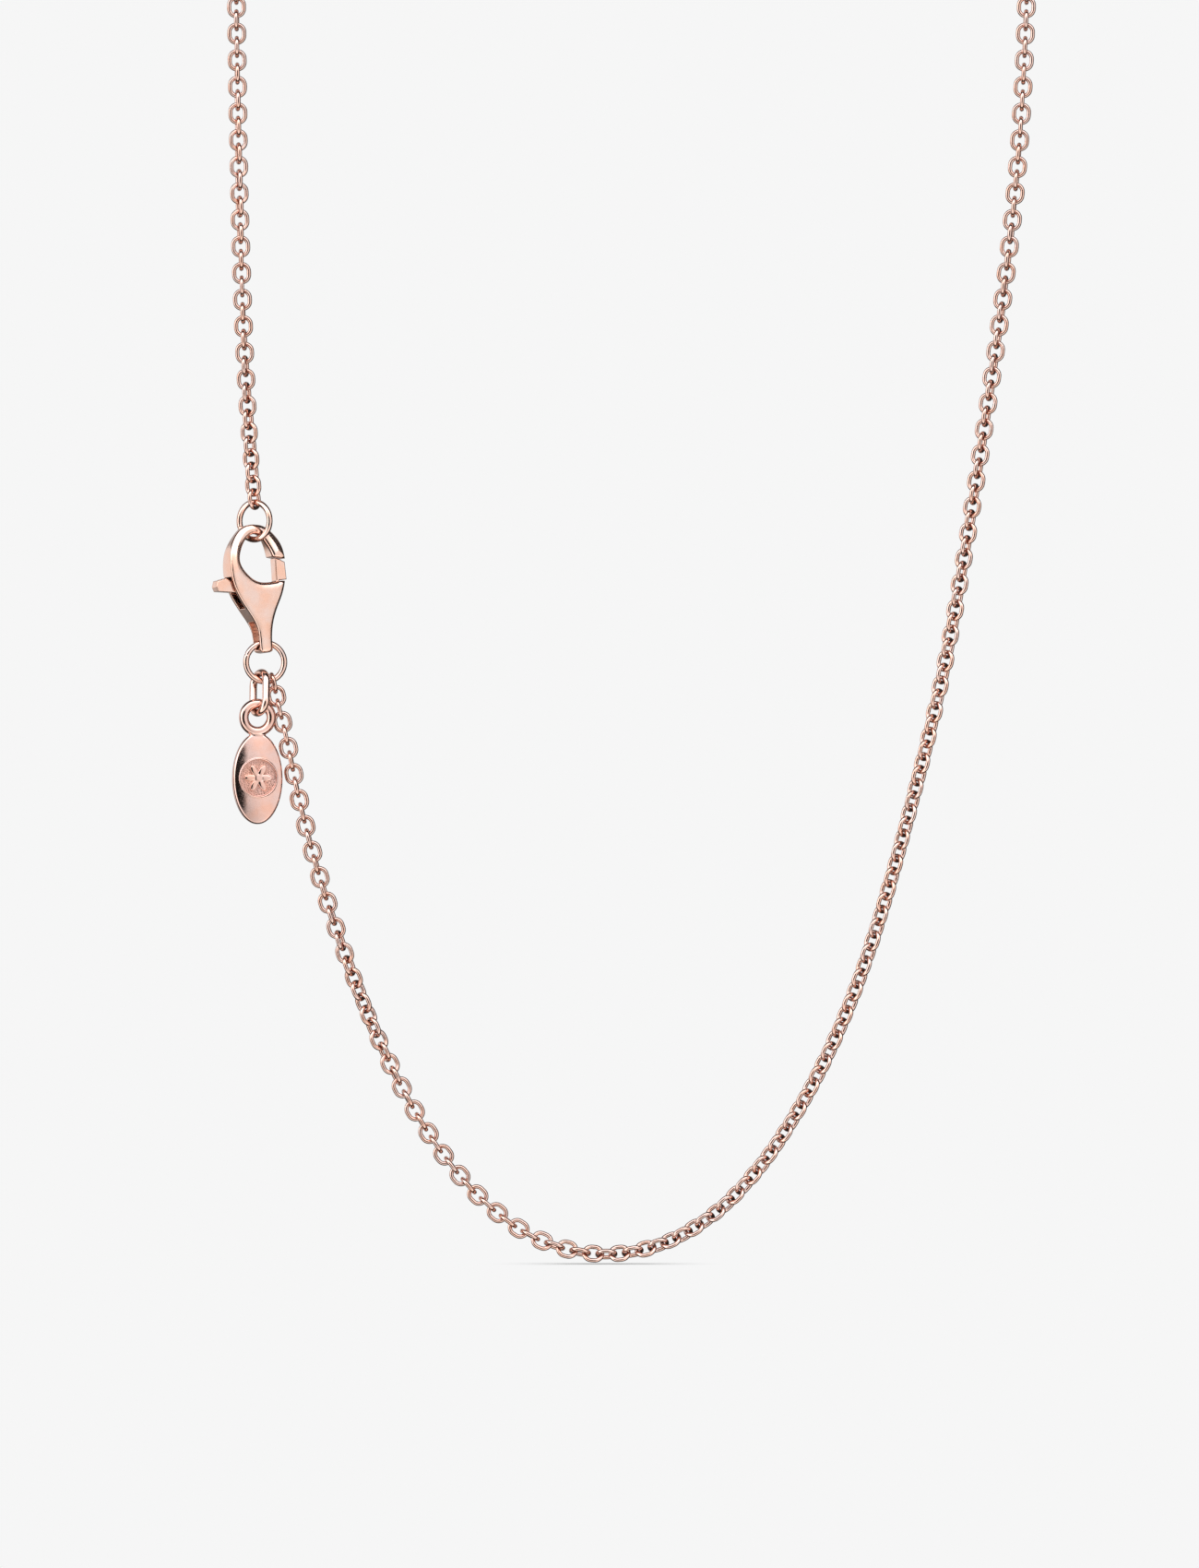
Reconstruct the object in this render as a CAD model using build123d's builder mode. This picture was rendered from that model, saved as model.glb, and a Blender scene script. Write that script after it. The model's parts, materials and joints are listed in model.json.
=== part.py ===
from build123d import *
import bisect
import math
import os

# Necklace: a fine oval-link cable chain closed by a lobster clasp, with an oval tag.
# All lengths in mm. The loop hangs in the XZ plane, +Z up, front face towards -Y.
# The origin is the centre of the topmost link.

# ---- cable chain ----
link_wire = 0.34          # wire diameter of a chain link
link_width = 1.50         # outside width of a link
link_half = 0.715         # link centre to the wire centre at either end
link_outer_length = 2 * link_half + link_wire
base_pitch = 1.0455       # nominal distance between neighbouring link centres
play = 0.045              # free gap where a link or ring rides on a ring

# ---- jump rings ----
ring_wire = 0.48
end_ring_radius = 1.465   # wire centre radius of the ring that the clasp hooks
clasp_ring_radius = 1.51  # wire centre radius of the ring in the clasp's tail
end_ring_yaw = -34.0
clasp_ring_yaw = 10.0

# ---- lobster clasp ----
clasp_thickness = 2.00
clasp_yaw = 28.0
tail_contact = 0.65       # height of the ring wire above the clasp's datum
slot_half = 0.53          # half width of the lever slot
lever_thickness = 0.94
pivot_u, pivot_v = 0.75, 4.35
pin_diameter = 0.50
spring_wire = 0.15
spring_radius = 0.31
spring_turns = 5.0

# ---- tag ----
tag_link_wire = 0.60
tag_link_half = 1.65
tag_link_half_width = 0.90
tag_link_yaw = -55.0
tag_link_tilt = 20.0
tag_width, tag_height, tag_thickness = 4.00, 7.15, 0.90
tag_eye_radius = 1.10
tag_eye_wire = 0.76
tag_yaw = 15.0

# Centre line of the chain, from the top of the end ring, up the left strand,
# over the top, down the right strand and round the bottom to the clasp ring.
path_points = [
    (-30.063, -138.618), (-30.453, -133.644), (-30.751, -128.664), (-30.975, -123.679),
    (-31.142, -118.693), (-31.266, -113.705), (-31.360, -108.717), (-31.433, -103.728),
    (-31.492, -98.739), (-31.543, -93.750), (-31.588, -88.761), (-31.627, -83.771),
    (-31.657, -78.782), (-31.676, -73.793), (-31.684, -68.804), (-31.685, -63.814),
    (-31.685, -58.825), (-31.697, -53.836), (-31.734, -48.846), (-31.806, -43.858),
    (-31.879, -38.869), (-31.853, -33.880), (-31.560, -28.900), (-30.758, -23.979),
    (-29.216, -19.240), (-26.904, -14.826), (-23.918, -10.835), (-20.348, -7.356),
    (-16.279, -4.477), (-11.810, -2.272), (-7.050, -0.792), (-2.118, -0.071),
    (2.866, -0.127), (7.780, -0.958), (12.505, -2.545), (16.925, -4.849),
    (20.933, -7.812), (24.429, -11.364), (27.320, -15.424), (29.511, -19.900),
    (30.937, -24.676), (31.672, -29.608), (31.927, -34.589), (31.910, -39.578),
    (31.791, -44.566), (31.687, -49.554), (31.643, -54.544), (31.634, -59.533),
    (31.599, -64.522), (31.505, -69.511), (31.357, -74.498), (31.187, -79.484),
    (31.022, -84.471), (30.873, -89.458), (30.733, -94.445), (30.585, -99.432),
    (30.391, -104.418), (30.103, -109.399), (29.689, -114.371), (29.146, -119.330),
    (28.506, -124.278), (27.805, -129.218), (27.068, -134.153), (26.306, -139.084),
    (25.508, -144.009), (24.641, -148.922), (23.645, -153.811), (22.491, -158.665),
    (21.239, -163.494), (19.923, -168.307), (18.475, -173.081), (16.792, -177.777),
    (14.793, -182.347), (12.426, -186.738), (9.609, -190.852), (6.150, -194.434),
    (1.846, -196.909), (-3.054, -197.673), (-7.858, -196.465), (-11.928, -193.612),
    (-15.218, -189.870), (-17.903, -185.668), (-20.133, -181.207), (-22.038, -176.597),
    (-23.717, -171.899), (-25.207, -167.137), (-26.471, -162.311), (-27.503, -157.430),
    (-28.636, -152.574),
]

# Heights of the nine cross lines about which both strands fold together.
# Whole numbers of links lie between them on both strands.
left_links_below_fold = 17        # links between the end ring and fold 5
links_per_fold = 20               # links between neighbouring folds 1 to 5
arch_links = 107                  # links over the top, above fold 1
right_56, right_67, right_78, right_89 = 20, 11, 15, 14
bottom_links = 49
left_98 = 14
left_87 = 15
fold_6_z = -141.548
fold_7_z = -152.574

# Twist of the chain along its length: (distance from the end ring, degrees).
twist_table = [
    (0.0, -34.0), (4.4, -31.0), (10.0, -12.0), (13.5, -2.0), (17.5, 0.0),
    (20.5, 8.0), (24.0, 17.0), (27.0, 14.0), (34.0, 3.0), (38.4, 0.0),
    (275.2, 0.0), (282.0, 2.0), (289.0, 7.0), (297.0, 13.0), (304.0, 17.0),
    (316.5, 27.0), (331.0, 38.0), (335.0, 43.0), (340.0, 45.0),
    (374.0, 45.0), (379.0, 42.0), (382.0, 33.0), (386.0, 22.0),
    (390.0, 6.0), (393.0, 1.0), (401.0, 0.0), (405.0, 10.0),
    (408.0, 20.0), (412.5, 45.0), (416.0, 68.0), (420.0, 82.0),
    (424.0, 86.0), (430.0, 90.0), (436.0, 92.0), (439.1, 100.0),
]


def smooth_path(points, steps=40):
    """Dense samples of a Catmull-Rom curve through the points."""
    ends = [tuple(2 * a - b for a, b in zip(points[0], points[1]))]
    ends += [tuple(p) for p in points]
    ends += [tuple(2 * a - b for a, b in zip(points[-1], points[-2]))]
    out = []
    for i in range(1, len(ends) - 2):
        a, b, c, e = ends[i - 1], ends[i], ends[i + 1], ends[i + 2]
        for k in range(steps):
            t = k / steps
            out.append(tuple(
                0.5 * (2 * b[j] + (c[j] - a[j]) * t
                       + (2 * a[j] - 5 * b[j] + 4 * c[j] - e[j]) * t * t
                       + (3 * b[j] - a[j] - 3 * c[j] + e[j]) * t ** 3)
                for j in (0, 1)))
    out.append(ends[-2])
    return out


curve = smooth_path(path_points)
reach = [0.0]
for a, b in zip(curve, curve[1:]):
    reach.append(reach[-1] + math.dist(a, b))
total = reach[-1]


def at(s):
    i = min(max(bisect.bisect_right(reach, s) - 1, 0), len(reach) - 2)
    f = (s - reach[i]) / (reach[i + 1] - reach[i])
    return tuple(curve[i][j] + (curve[i + 1][j] - curve[i][j]) * f for j in (0, 1))


def tangent(s):
    a, b = at(max(s - 0.5, 0.0)), at(min(s + 0.5, total))
    n = math.dist(a, b)
    return (b[0] - a[0]) / n, (b[1] - a[1]) / n


def distance_at_height(z, low, high):
    side = at(low)[1] - z
    for _ in range(60):
        mid = (low + high) / 2
        if (at(mid)[1] - z) * side > 0:
            low = mid
        else:
            high = mid
    return (low + high) / 2


def twist(s):
    for (a, va), (b, vb) in zip(twist_table, twist_table[1:]):
        if s <= b:
            return va + (vb - va) * (s - a) / (b - a)
    return twist_table[-1][1]


top_s = reach[max(range(len(curve)), key=lambda i: curve[i][1])]
bottom_s = reach[min(range(len(curve)), key=lambda i: curve[i][1])]
end_gap = link_half - ((link_wire + ring_wire) / 2 + play)

# Places along the chain where two links meet on a fold line.
left_fold = {
    5 - i: end_gap + base_pitch / 2 + (left_links_below_fold - 1 + links_per_fold * i) * base_pitch
    for i in range(5)
}
fold_z = {n: at(s)[1] for n, s in left_fold.items()}
fold_z[6], fold_z[7] = fold_6_z, fold_7_z
left_fold[8] = total - end_gap - base_pitch / 2 - (left_87 - 1) * base_pitch
left_fold[9] = left_fold[8] - left_98 * base_pitch
fold_z[8], fold_z[9] = at(left_fold[8])[1], at(left_fold[9])[1]
right_fold = {n: distance_at_height(z, top_s, bottom_s) for n, z in fold_z.items()}

# Runs of links: (first place, last place, number of links). A run that ends at a ring
# has its outermost link centre end_gap from the ring's wire.
runs = [("left_5", None, left_fold[5], left_links_below_fold)]
for n in (4, 3, 2, 1):
    runs.append((f"left_{n}", left_fold[n + 1], left_fold[n], links_per_fold))
runs.append(("top", left_fold[1], right_fold[1], arch_links))
for n in (1, 2, 3, 4):
    runs.append((f"right_{n}", right_fold[n], right_fold[n + 1], links_per_fold))
runs.append(("right_5", right_fold[5], right_fold[6], right_56))
runs.append(("right_6", right_fold[6], right_fold[7], right_67))
runs.append(("right_7", right_fold[7], right_fold[8], right_78))
runs.append(("right_8", right_fold[8], right_fold[9], right_89))
runs.append(("bottom", right_fold[9], left_fold[9], bottom_links))
runs.append(("return_8", left_fold[9], left_fold[8], left_98))
runs.append(("return_7", left_fold[8], None, left_87))

pieces_per_run = {"left_5": 2, "top": 12, "right_6": 1, "bottom": 5}

link_places = []          # (run name, distance along the chain) for each link
for name, first, last, count in runs:
    if first is None:
        step = (last - end_gap) / (count - 0.5)
        places = [end_gap + i * step for i in range(count)]
    elif last is None:
        step = (total - end_gap - first) / (count - 0.5)
        places = [first + (i + 0.5) * step for i in range(count)]
    else:
        step = (last - first) / count
        places = [first + (i + 0.5) * step for i in range(count)]
    link_places += [(name, s) for s in places]


def link_frame(k):
    """Centre, width direction and long direction of link k."""
    s = link_places[k][1]
    x, z = at(s)
    tx, tz = tangent(s)
    angle = math.radians(twist(s) + (90.0 if k % 2 == 0 else 0.0))
    across = (math.cos(angle) * tz, math.sin(angle), -math.cos(angle) * tx)
    return (x, 0.0, z), across, (tx, 0.0, tz)


os.makedirs("parts", exist_ok=True)

# ---- one chain link, long way up, its width along X ----
with BuildPart() as link:
    with BuildLine(Plane.XZ) as link_line:
        r = (link_width - link_wire) / 2
        flat = link_half - r
        side = Line((r, -flat), (r, flat))
        ThreePointArc(side @ 1, (0, link_half), (-r, flat))
        other = Line((-r, flat), (-r, -flat))
        ThreePointArc(other @ 1, (0, -link_half), (r, -flat))
    with BuildSketch(Plane(origin=(r, 0, -flat), z_dir=(0, 0, 1))):
        Circle(link_wire / 2)
    sweep(path=link_line.wires()[0])

# ---- chain, in short runs of separate links ----
first = 0
for name, _, _, count in runs:
    pieces = pieces_per_run.get(name, 2)
    for i in range(pieces):
        last = first + (count * (i + 1)) // pieces - (count * i) // pieces
        frames = []
        for k in range(first, last):
            centre, across, along = link_frame(k)
            frames.append(Plane(origin=centre, x_dir=across, z_dir=along).location)
        with BuildPart() as chain:
            with Locations(*frames):
                add(link.part)
        label = f"chain_{name}_{chr(97 + i)}"
        chain.part.label = label
        export_step(chain.part, f"parts/{label}.step")
        first = last

# ---- jump rings ----
end_top = Vector(path_points[0][0], 0, path_points[0][1])
with BuildPart() as ring_profile_end:
    with BuildSketch(Plane.XY):
        with Locations((end_ring_radius, 0)):
            Circle(ring_wire / 2)
    revolve(axis=Axis.Y)
with BuildPart() as ring_profile_clasp:
    with BuildSketch(Plane.XY):
        with Locations((clasp_ring_radius, 0)):
            Circle(ring_wire / 2)
    revolve(axis=Axis.Y)


def ring_plane(centre, yaw):
    """Plane whose local Y is the ring's own axis."""
    c, s = math.cos(math.radians(yaw)), math.sin(math.radians(yaw))
    return Plane(origin=centre, x_dir=(c, s, 0), z_dir=(0, 0, 1)).location


end_centre = (end_top.X, 0.0, end_top.Z - end_ring_radius)
with BuildPart() as end_ring:
    with Locations(ring_plane(end_centre, end_ring_yaw)):
        add(ring_profile_end.part)
end_ring.part.label = "end_ring"
export_step(end_ring.part, "parts/end_ring.step")

# The clasp ring meets the first link low on its right-hand side.
meet = (path_points[-1][0], 0.0, path_points[-1][1])
meet_angle = math.radians(-66.7)
ry = math.radians(clasp_ring_yaw)
ox, oz = clasp_ring_radius * math.cos(meet_angle), clasp_ring_radius * math.sin(meet_angle)
clasp_ring_centre = (meet[0] - ox * math.cos(ry), -ox * math.sin(ry), meet[2] - oz)
with BuildPart() as clasp_ring:
    with Locations(ring_plane(clasp_ring_centre, clasp_ring_yaw)):
        add(ring_profile_clasp.part)
clasp_ring.part.label = "clasp_ring"
export_step(clasp_ring.part, "parts/clasp_ring.step")

# ---- lobster clasp: local X across, Z up its length, -Y the front ----
tail_point = Vector(clasp_ring_centre[0] - 0.15, clasp_ring_centre[1], clasp_ring_centre[2] + clasp_ring_radius - 0.01)
hook_point = Vector(end_centre[0], 0, end_centre[2] - end_ring_radius)
clasp_up = (hook_point - tail_point).normalized()
cy = math.radians(clasp_yaw)
side_dir = Vector(math.cos(cy), math.sin(cy), 0)
side_dir = (side_dir - clasp_up * side_dir.dot(clasp_up)).normalized()
clasp_location = Plane(
    origin=tail_point - clasp_up * tail_contact, x_dir=side_dir, z_dir=clasp_up
).location
hook_v = tail_contact + (hook_point - tail_point).length     # ring wire in the hook
hook_in, hook_out = hook_v + ring_wire / 2 + 0.18, hook_v + ring_wire / 2 + 0.95

outer_left = [
    (-0.56, 0.10), (-0.58, 0.90), (-0.66, 1.70), (-1.06, 2.60), (-1.64, 3.55),
    (-2.20, 4.60), (-2.50, 5.50), (-2.60, 6.50), (-2.55, 7.40), (-2.28, 8.40),
    (-1.72, 9.25), (-0.95, hook_out - 0.14), (-0.10, hook_out), (0.80, hook_out - 0.16),
    (1.55, 9.25), (2.02, 8.50), (2.22, 7.14),
]
inner = [
    (1.15, 7.36), (0.98, 7.95), (0.74, 8.50), (0.42, 8.98), (0.0, hook_in),
    (-0.50, hook_in - 0.12), (-1.05, 8.65), (-1.50, 7.95), (-1.70, 7.20), (-1.52, 6.60),
    (-1.15, 6.10), (-0.70, 5.70), (-0.20, 5.46), (0.40, 5.38), (1.20, 5.42),
]
outer_right = [
    (2.04, 5.42), (1.90, 4.90), (1.62, 4.20), (1.20, 3.40), (0.86, 2.60),
    (0.64, 1.70), (0.57, 0.90), (0.56, 0.10),
]
with BuildPart() as body_local:
    with BuildSketch(Plane.XZ):
        with BuildLine():
            Spline(*outer_left)
            Line(outer_left[-1], inner[0])
            Spline(*inner)
            Line(inner[-1], outer_right[0])
            Spline(*outer_right)
            ThreePointArc(outer_right[-1], (0, -0.14), outer_left[0])
        make_face()
    extrude(amount=clasp_thickness / 2, both=True)
    # thinner towards the hook's top and towards the tail
    with BuildSketch(Plane.YZ):
        with BuildLine():
            front = [(-0.80, -0.3), (-0.86, 1.2), (-0.98, 2.8), (-1.0, 5.0),
                     (-0.98, 6.6), (-0.80, 7.9), (-0.50, 9.0), (-0.45, 10.4)]
            Spline(*front)
            Line((-0.45, 10.4), (0.45, 10.4))
            Spline(*[(-y, z) for y, z in reversed(front)])
            Line((0.80, -0.3), (-0.80, -0.3))
        make_face()
    extrude(amount=4, both=True, mode=Mode.INTERSECT)
    fillet(
        body_local.faces()
        .filter_by(lambda f: abs(f.normal_at(f.center()).Y) > 0.9 and f.area > 2).edges(),
        0.34,
    )
    # hollow for the lever, open on the left above its side wall and at the gate
    with BuildSketch(Plane.XZ):
        with BuildLine():
            Polyline((-3.4, 6.25), (-2.05, 5.80), (-0.95, 5.02), (0.50, 4.93), (0.62, 6.1),
                     (1.78, 6.1), (1.70, 5.40), (1.52, 4.90), (1.27, 4.20), (0.90, 3.40),
                     (0.55, 2.72), (0.45, 2.60), (-0.70, 2.60), (-1.22, 3.45), (-3.4, 3.45),
                     close=True)
        make_face()
    extrude(amount=slot_half, both=True, mode=Mode.SUBTRACT)
    # eye through the tail, side to side
    with BuildSketch(Plane.YZ):
        with BuildLine():
            Polyline((-0.56, 0.60), (-0.56, 2.36), (0.56, 2.36), (0.56, 0.60))
            ThreePointArc((0.56, 0.60), (0, 0.17), (-0.56, 0.60))
        make_face()
    extrude(amount=1.6, both=True, mode=Mode.SUBTRACT)
    # rivet hole
    with BuildSketch(Plane.XZ):
        with Locations((pivot_u, pivot_v)):
            Circle(pin_diameter / 2)
    extrude(amount=2, both=True, mode=Mode.SUBTRACT)
with BuildPart() as clasp_body:
    with Locations(clasp_location):
        add(body_local.part)
clasp_body.part.label = "clasp_body"
export_step(clasp_body.part, "parts/clasp_body.step")

lever_outline = [
    (1.44, 7.24), (1.86, 7.11), (2.26, 6.91), (2.30, 5.52), (1.66, 5.50), (1.44, 4.95), (1.19, 4.42),
    (1.05, 4.05), (0.75, 3.92), (0.40, 4.02), (-1.00, 4.36), (-2.20, 4.74), (-3.72, 4.92),
    (-3.86, 5.30), (-3.70, 5.76), (-3.00, 5.92), (-2.40, 5.60), (-1.60, 5.08), (-0.80, 4.80),
    (0.50, 4.76), (1.05, 5.00), (1.40, 5.50),
]
with BuildPart() as lever_local:
    with BuildSketch(Plane.XZ):
        with BuildLine():
            Polyline(*lever_outline, close=True)
        make_face()
    extrude(amount=lever_thickness / 2, both=True)
    with BuildSketch(Plane.XZ):
        with Locations((pivot_u, pivot_v)):
            Circle(pin_diameter / 2 + 0.03)
    extrude(amount=2, both=True, mode=Mode.SUBTRACT)
    fillet(lever_local.edges().filter_by(Axis.Y).filter_by(lambda e: e.center().X < -3.4), 0.12)
with BuildPart() as clasp_lever:
    with Locations(clasp_location):
        add(lever_local.part)
clasp_lever.part.label = "clasp_lever"
export_step(clasp_lever.part, "parts/clasp_lever.step")

with BuildPart() as pin_local:
    with BuildSketch(Plane.XZ):
        with Locations((pivot_u, pivot_v)):
            Circle(pin_diameter / 2)
    extrude(amount=clasp_thickness / 2 - 0.01, both=True)
with BuildPart() as lever_pin:
    with Locations(clasp_location):
        add(pin_local.part)
lever_pin.part.label = "lever_pin"
export_step(lever_pin.part, "parts/lever_pin.step")

# Coil spring under the lever, standing on the floor of the hollow.
spring_low, spring_high, spring_u = 2.70, 3.97, -0.20
with BuildPart() as spring_local:
    with BuildLine() as coil:
        Helix(pitch=(spring_high - spring_low) / spring_turns, height=spring_high - spring_low,
              radius=spring_radius, center=(spring_u, 0, spring_low))
    with BuildSketch(Plane(origin=coil.line @ 0, z_dir=coil.line % 0)):
        Circle(spring_wire / 2)
    sweep(path=coil.line, is_frenet=True)
with BuildPart() as lever_spring:
    with Locations(clasp_location):
        add(spring_local.part)
lever_spring.part.label = "lever_spring"
export_step(lever_spring.part, "parts/lever_spring.step")

# ---- oval link that carries the tag, hanging on the clasp ring ----
seat_x = -29.643
sx = seat_x - clasp_ring_centre[0]
seat = Vector(seat_x, clasp_ring_centre[1] + sx * math.tan(ry),
              clasp_ring_centre[2] - math.sqrt(clasp_ring_radius ** 2 - (sx / math.cos(ry)) ** 2))
tilt = math.radians(tag_link_tilt)
hang = Vector(0, -math.sin(tilt), -math.cos(tilt))
seat_drop = tag_link_half - ((ring_wire + tag_link_wire) / 2 + play + 0.05)
tag_link_centre = seat + hang * seat_drop
ly = math.radians(tag_link_yaw)
link_side = Vector(math.cos(ly), math.sin(ly), 0)
link_side = (link_side - hang * link_side.dot(hang)).normalized()
with BuildPart() as tag_link_local:
    with BuildLine(Plane.XZ) as tag_line:
        q, f = tag_link_half_width, tag_link_half - tag_link_half_width
        near = Line((q, -f), (q, f))
        ThreePointArc(near @ 1, (0, tag_link_half), (-q, f))
        far = Line((-q, f), (-q, -f))
        ThreePointArc(far @ 1, (0, -tag_link_half), (q, -f))
    with BuildSketch(Plane(origin=(q, 0, -f), z_dir=(0, 0, 1))):
        Circle(tag_link_wire / 2)
    sweep(path=tag_line.wires()[0])
with BuildPart() as tag_link:
    with Locations(Plane(origin=tag_link_centre, x_dir=link_side, z_dir=hang * -1).location):
        add(tag_link_local.part)
tag_link.part.label = "tag_link"
export_step(tag_link.part, "parts/tag_link.step")

# ---- tag: eye and oval plate cast in one piece ----
# The eye rests at the lowest point of the tilted link.
across_z, along_z = -link_side.Z, -hang.Z
lowest = (link_side * across_z + hang * along_z).normalized()
hold = tag_link_centre + hang * (tag_link_half - tag_link_half_width) + lowest * tag_link_half_width
eye_drop = (tag_link_wire + tag_eye_wire) / 2 + play + 0.02
eye_centre = Vector(hold.X, hold.Y, hold.Z + eye_drop - tag_eye_radius)
plate_drop = tag_eye_radius + tag_height / 2 + 0.12      # eye centre to plate centre
with BuildPart() as tag_local:
    with BuildSketch(Plane.XZ):
        with Locations((0, -plate_drop)):
            Ellipse(tag_width / 2, tag_height / 2)
    extrude(amount=tag_thickness / 2, both=True)
    fillet(tag_local.edges(), 0.28)
    with BuildSketch(Plane.XY):
        with Locations((tag_eye_radius, 0)):
            Circle(tag_eye_wire / 2)
    revolve(axis=Axis.Y)
    # shallow round recess with a raised six-petal flower
    with BuildSketch(Plane.XZ.offset(tag_thickness / 2)):
        with Locations((0, -plate_drop + 0.05)):
            Circle(1.42)
    extrude(amount=-0.20, mode=Mode.SUBTRACT)
    with BuildSketch(Plane.XZ.offset(tag_thickness / 2 - 0.20)):
        with Locations((0, -plate_drop + 0.05)):
            with PolarLocations(0.66, 6):
                Ellipse(0.50, 0.26)
            Circle(0.34)
    extrude(amount=0.15)
ty = math.radians(tag_yaw)
with BuildPart() as tag:
    with Locations(Plane(origin=eye_centre, x_dir=(math.cos(ty), math.sin(ty), 0), z_dir=(0, 0, 1)).location):
        add(tag_local.part)
tag.part.label = "tag"
export_step(tag.part, "parts/tag.step")
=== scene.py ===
import bisect
import json
import math

import bpy
import numpy as np
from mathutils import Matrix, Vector


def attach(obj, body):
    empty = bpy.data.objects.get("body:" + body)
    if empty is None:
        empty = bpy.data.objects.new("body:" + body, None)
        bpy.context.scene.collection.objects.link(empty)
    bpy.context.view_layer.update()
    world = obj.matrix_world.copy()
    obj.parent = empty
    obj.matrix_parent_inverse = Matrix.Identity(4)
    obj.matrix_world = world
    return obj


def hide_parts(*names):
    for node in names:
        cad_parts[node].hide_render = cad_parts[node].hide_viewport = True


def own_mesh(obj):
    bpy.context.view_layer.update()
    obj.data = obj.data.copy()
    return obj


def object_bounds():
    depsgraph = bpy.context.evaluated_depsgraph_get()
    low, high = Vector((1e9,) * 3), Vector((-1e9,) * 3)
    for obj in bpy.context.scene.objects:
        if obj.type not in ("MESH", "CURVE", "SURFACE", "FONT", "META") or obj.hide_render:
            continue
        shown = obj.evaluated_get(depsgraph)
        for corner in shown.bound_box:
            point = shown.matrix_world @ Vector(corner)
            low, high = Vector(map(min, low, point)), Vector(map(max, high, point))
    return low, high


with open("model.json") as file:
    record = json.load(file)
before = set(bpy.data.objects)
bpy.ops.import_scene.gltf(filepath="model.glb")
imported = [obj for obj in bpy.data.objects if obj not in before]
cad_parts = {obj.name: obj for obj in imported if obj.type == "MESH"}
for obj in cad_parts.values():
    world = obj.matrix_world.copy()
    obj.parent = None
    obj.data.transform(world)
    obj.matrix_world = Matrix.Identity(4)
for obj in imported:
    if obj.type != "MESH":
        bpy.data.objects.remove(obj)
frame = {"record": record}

# A fine cable chain necklace with a lobster clasp and an oval tag, in polished rose gold.
# Lengths are in mm up to make_mesh, which turns them into metres.
MM = 0.001
cad_low, cad_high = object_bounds()

# ---- cable chain ----
link_wire = 0.34          # wire diameter of a chain link
link_width = 1.50         # outside width of a link
link_half = 0.715         # link centre to the wire centre at either end
link_outer_length = 2 * link_half + link_wire
base_pitch = 1.0455       # nominal distance between neighbouring link centres
play = 0.045              # free gap where a link or ring rides on a ring

# ---- jump rings ----
ring_wire = 0.48
end_ring_radius = 1.465   # wire centre radius of the ring that the clasp hooks
clasp_ring_radius = 1.51  # wire centre radius of the ring in the clasp's tail
end_ring_yaw = -34.0
clasp_ring_yaw = 10.0

# ---- lobster clasp ----
clasp_thickness = 2.00
clasp_yaw = 28.0
tail_contact = 0.65       # height of the ring wire above the clasp's datum
slot_half = 0.53          # half width of the lever slot
lever_thickness = 0.94
pivot_u, pivot_v = 0.75, 4.35
pin_diameter = 0.50
spring_wire = 0.15
spring_radius = 0.31
spring_turns = 5.0

# ---- tag ----
tag_link_wire = 0.60
tag_link_half = 1.65
tag_link_half_width = 0.90
tag_link_yaw = -55.0
tag_link_tilt = 20.0
tag_width, tag_height, tag_thickness = 4.00, 7.15, 0.90
tag_eye_radius = 1.10
tag_eye_wire = 0.76
tag_yaw = 15.0

# Centre line of the chain, from the top of the end ring, up the left strand,
# over the top, down the right strand and round the bottom to the clasp ring.
path_points = [
    (-30.063, -138.618), (-30.453, -133.644), (-30.751, -128.664), (-30.975, -123.679),
    (-31.142, -118.693), (-31.266, -113.705), (-31.360, -108.717), (-31.433, -103.728),
    (-31.492, -98.739), (-31.543, -93.750), (-31.588, -88.761), (-31.627, -83.771),
    (-31.657, -78.782), (-31.676, -73.793), (-31.684, -68.804), (-31.685, -63.814),
    (-31.685, -58.825), (-31.697, -53.836), (-31.734, -48.846), (-31.806, -43.858),
    (-31.879, -38.869), (-31.853, -33.880), (-31.560, -28.900), (-30.758, -23.979),
    (-29.216, -19.240), (-26.904, -14.826), (-23.918, -10.835), (-20.348, -7.356),
    (-16.279, -4.477), (-11.810, -2.272), (-7.050, -0.792), (-2.118, -0.071),
    (2.866, -0.127), (7.780, -0.958), (12.505, -2.545), (16.925, -4.849),
    (20.933, -7.812), (24.429, -11.364), (27.320, -15.424), (29.511, -19.900),
    (30.937, -24.676), (31.672, -29.608), (31.927, -34.589), (31.910, -39.578),
    (31.791, -44.566), (31.687, -49.554), (31.643, -54.544), (31.634, -59.533),
    (31.599, -64.522), (31.505, -69.511), (31.357, -74.498), (31.187, -79.484),
    (31.022, -84.471), (30.873, -89.458), (30.733, -94.445), (30.585, -99.432),
    (30.391, -104.418), (30.103, -109.399), (29.689, -114.371), (29.146, -119.330),
    (28.506, -124.278), (27.805, -129.218), (27.068, -134.153), (26.306, -139.084),
    (25.508, -144.009), (24.641, -148.922), (23.645, -153.811), (22.491, -158.665),
    (21.239, -163.494), (19.923, -168.307), (18.475, -173.081), (16.792, -177.777),
    (14.793, -182.347), (12.426, -186.738), (9.609, -190.852), (6.150, -194.434),
    (1.846, -196.909), (-3.054, -197.673), (-7.858, -196.465), (-11.928, -193.612),
    (-15.218, -189.870), (-17.903, -185.668), (-20.133, -181.207), (-22.038, -176.597),
    (-23.717, -171.899), (-25.207, -167.137), (-26.471, -162.311), (-27.503, -157.430),
    (-28.636, -152.574),
]

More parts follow.
